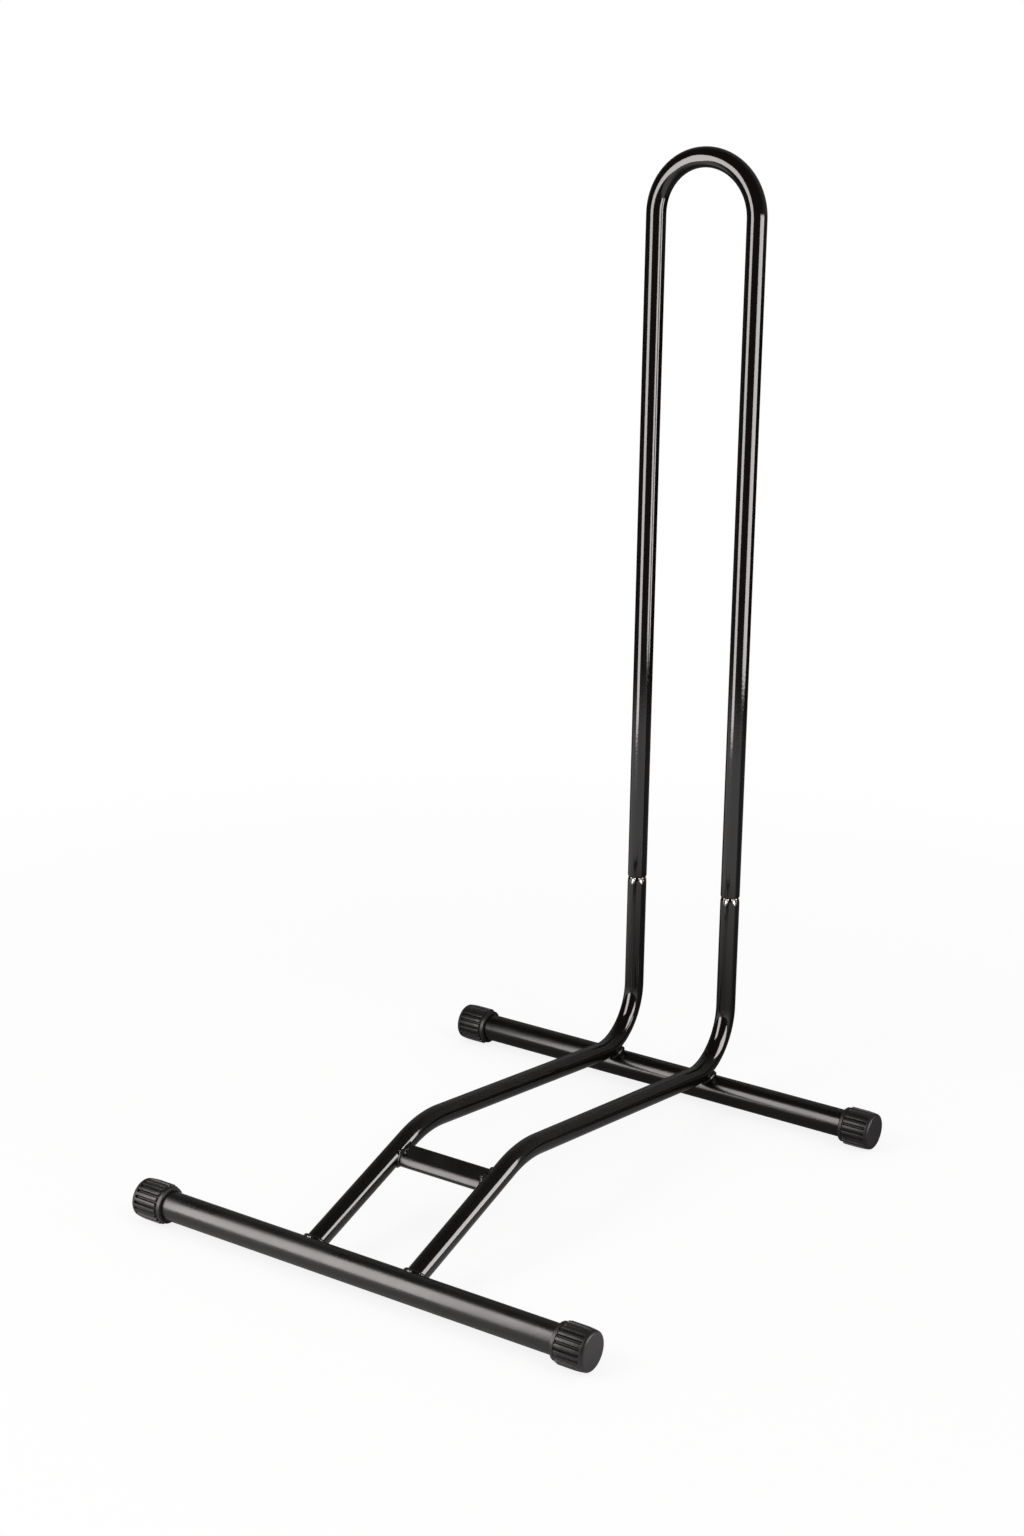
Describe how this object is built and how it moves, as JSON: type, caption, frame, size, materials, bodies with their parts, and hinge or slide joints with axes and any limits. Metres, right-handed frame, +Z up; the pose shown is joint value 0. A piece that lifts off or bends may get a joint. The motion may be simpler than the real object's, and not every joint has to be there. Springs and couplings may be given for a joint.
{
  "type": "floor bike stand",
  "caption": "Freestanding floor stand of bent steel tube: capped crossbars, braced side rails and a tall plug-on hoop that hold a bicycle's wheel upright.",
  "frame": {"origin": "on the floor, under the middle of the stand's bounding box", "axes": "+X along the crossbars, to the stand's right as seen by someone pushing a wheel in; +Y from the front crossbar towards the hoop, the way the wheel rolls in; +Z up along the posts"},
  "size_m": [0.402, 0.4772, 0.78],
  "materials": {
    "black_paint": "semi-gloss black powder coat on steel tube",
    "painted_weld": "semi-gloss black powder coat over a weld bead",
    "black_plastic": "satin black moulded plastic"
  },
  "bodies": {
    "base": {"front_crossbar": "black_paint", "rear_crossbar": "black_paint", "left_rail": "black_paint", "right_rail": "black_paint", "brace_tube": "black_paint", "cap_front_left": "black_plastic", "cap_front_right": "black_plastic", "cap_rear_left": "black_plastic", "cap_rear_right": "black_plastic", "weld_front_left": "painted_weld", "weld_front_right": "painted_weld", "weld_brace_left": "painted_weld", "weld_brace_right": "painted_weld", "weld_rear_left_outer": "painted_weld", "weld_rear_left_inner": "painted_weld", "weld_rear_right_outer": "painted_weld", "weld_rear_right_inner": "painted_weld"},
    "hoop": {"upper_hoop": "black_paint"}
  },
  "joints": [
    {"name": "hoop_lift", "type": "slide", "parent": "base", "child": "hoop", "axis": [0, 0, 1], "range_m": [0, 0.045]}
  ]
}
